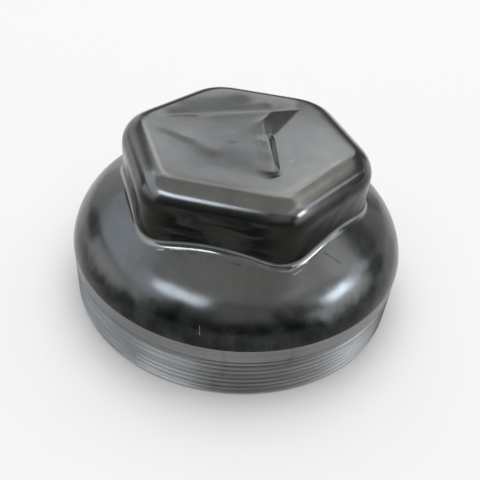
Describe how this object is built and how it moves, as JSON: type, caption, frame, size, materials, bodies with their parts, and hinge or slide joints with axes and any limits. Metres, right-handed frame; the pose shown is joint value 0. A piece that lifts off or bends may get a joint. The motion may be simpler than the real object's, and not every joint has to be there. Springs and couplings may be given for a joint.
{
  "type": "hub grease cap",
  "caption": "Screw-in steel hub grease cap: hollow domed body with a threaded skirt below and a raised hexagon head for a spanner, its top dented.",
  "frame": {"origin": "on the cap's axis, in the plane of its open mouth", "axes": "+Z along the axis from the mouth to the hexagon head; the head's flats face +Y and -Y, its corners +X and -X"},
  "size_m": [0.12, 0.12, 0.0604],
  "materials": {
    "steel": "dark drawn steel, half polished, with draw lines, scuffs and a brighter turned skirt"
  },
  "bodies": {
    "root": {"cap": "steel"}
  },
  "joints": []
}
